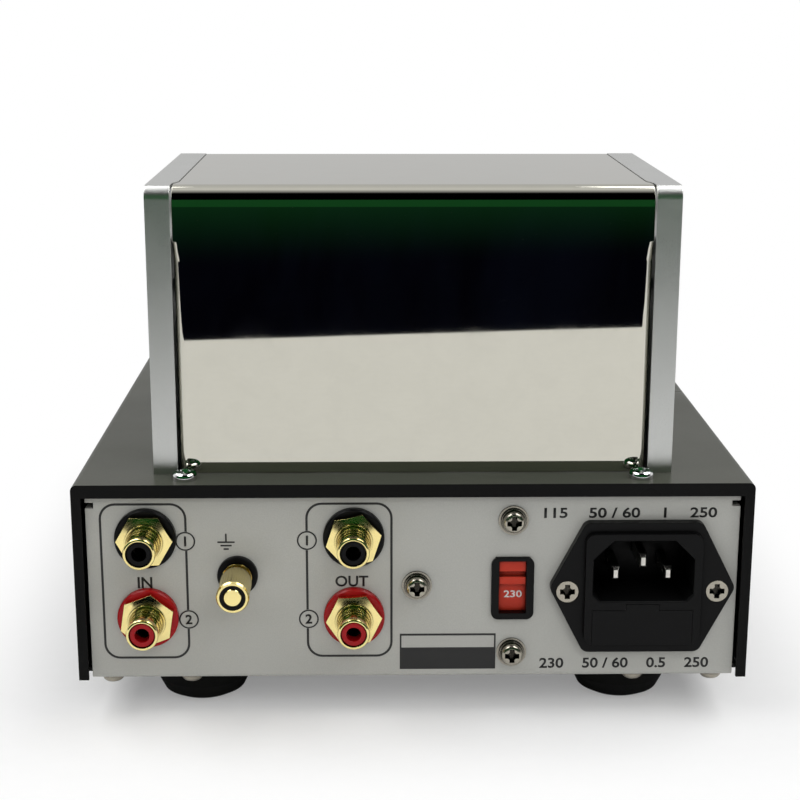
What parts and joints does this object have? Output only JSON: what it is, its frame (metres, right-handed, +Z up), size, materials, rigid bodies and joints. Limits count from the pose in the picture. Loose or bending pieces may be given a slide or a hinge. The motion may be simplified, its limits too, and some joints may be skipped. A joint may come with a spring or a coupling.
{
  "type": "tube phono preamplifier",
  "caption": "Low black steel case with rear sockets, ground post, mains inlet and voltage slide, and a mirror-backed tube cage on its deck.",
  "frame": {"origin": "on the floor, under the middle of the bounding box", "axes": "+Z up, the rear panel with the sockets faces +Y, the front panel with the power button faces -Y"},
  "size_m": [0.1818, 0.252, 0.1441],
  "materials": {
    "black_steel": "satin black enamel",
    "grey_steel": "light grey powder coat",
    "base_steel": "satin black",
    "frame_steel": "zinc plated",
    "front_aluminium": "brushed, clear anodised",
    "cage_aluminium": "satin",
    "mirror_steel": "polished",
    "chrome": "polished",
    "zinc": "zinc plated",
    "rubber": "matte",
    "gold": "gold plated",
    "black_plastic": "matte",
    "red_plastic": "gloss",
    "selector_red": "matte",
    "contact": "nickel plated",
    "glass": "clear",
    "electrode": "dark nickel",
    "ceramic": "white ceramic",
    "board": "green laminate",
    "film": "amber film",
    "can": "sleeved can",
    "heat_sink": "black anodised",
    "core": "varnished laminations",
    "winding": "yellow tape",
    "brass": "plain",
    "wire": "insulated",
    "lens": "clear blue",
    "fuse": "clear with metal caps"
  },
  "bodies": {
    "case": {"top_cover": "black_steel", "base_plate": "base_steel", "rear_panel": "grey_steel", "front_frame": "frame_steel", "front_panel": "front_aluminium", "front_screws": "zinc", "cover_top_screws": "chrome", "base_screws": "zinc", "rubber_feet": "rubber", "foot_screws": "zinc", "side_frame_left": "cage_aluminium", "side_frame_right": "cage_aluminium", "mirror_cover": "mirror_steel", "guard_rods": "chrome", "cage_screws": "zinc", "tube_pins": "contact", "tube_sockets": "ceramic", "main_board": "board", "power_board": "board", "board_standoffs": "brass", "inner_screws": "zinc", "film_capacitors": "film", "filter_capacitors": "can", "heat_sink": "heat_sink", "transformer_core": "core", "transformer_winding": "winding", "transformer_frame": "zinc", "jack_washers_left": "black_plastic", "jack_washers_right": "red_plastic", "jack_inserts_left": "black_plastic", "jack_inserts_right": "red_plastic", "jack_contacts": "gold", "panel_nuts": "zinc", "jack_input_left": "gold", "jack_input_right": "gold", "jack_output_left": "gold", "jack_output_right": "gold", "ground_post": "gold", "ground_washers": "black_plastic", "mains_inlet": "black_plastic", "mains_pins": "contact", "mains_inlet_screws": "zinc", "selector_housing": "black_plastic", "panel_screws": "zinc", "power_switch": "black_plastic", "power_light": "lens", "internal_wiring": "wire", "tube_glass_1": "glass", "tube_glass_2": "glass", "tube_glass_3": "glass", "tube_electrodes_1": "electrode", "tube_electrodes_2": "electrode", "tube_electrodes_3": "electrode"},
    "power_button": {"power_button": "front_aluminium"},
    "fuse_drawer": {"fuse_drawer": "black_plastic", "fuses": "fuse"},
    "selector_slide": {"selector_slide": "selector_red"},
    "ground_collar": {"ground_collar": "gold"},
    "ground_nut": {"ground_thumb_nut": "gold", "ground_nut_ring": "black_plastic"}
  },
  "joints": [
    {"name": "power_button_press", "type": "slide", "parent": "case", "child": "power_button", "axis": [0, 1, 0], "range_m": [0, 0.003], "stiffness_N_per_m": 300},
    {"name": "fuse_drawer_pull", "type": "slide", "parent": "case", "child": "fuse_drawer", "axis": [0, 1, 0], "range_m": [0, 0.016]},
    {"name": "selector_travel", "type": "slide", "parent": "case", "child": "selector_slide", "axis": [0, 0, -1], "range_m": [0, 0.0074]},
    {"name": "ground_collar_slide", "type": "slide", "parent": "case", "child": "ground_collar", "axis": [0, 1, 0], "range_m": [-0.00105, 0.0028]},
    {"name": "ground_nut_turn", "type": "hinge", "parent": "ground_collar", "child": "ground_nut", "pos_m": [0.0469, 0.1198, 0.0415], "axis": [0, 1, 0], "range_deg": [-540, 1440]}
  ],
  "couplings": [
    {"joint": "ground_nut_turn", "follows": "ground_collar_slide", "rad_per_m": 8975.9}
  ]
}
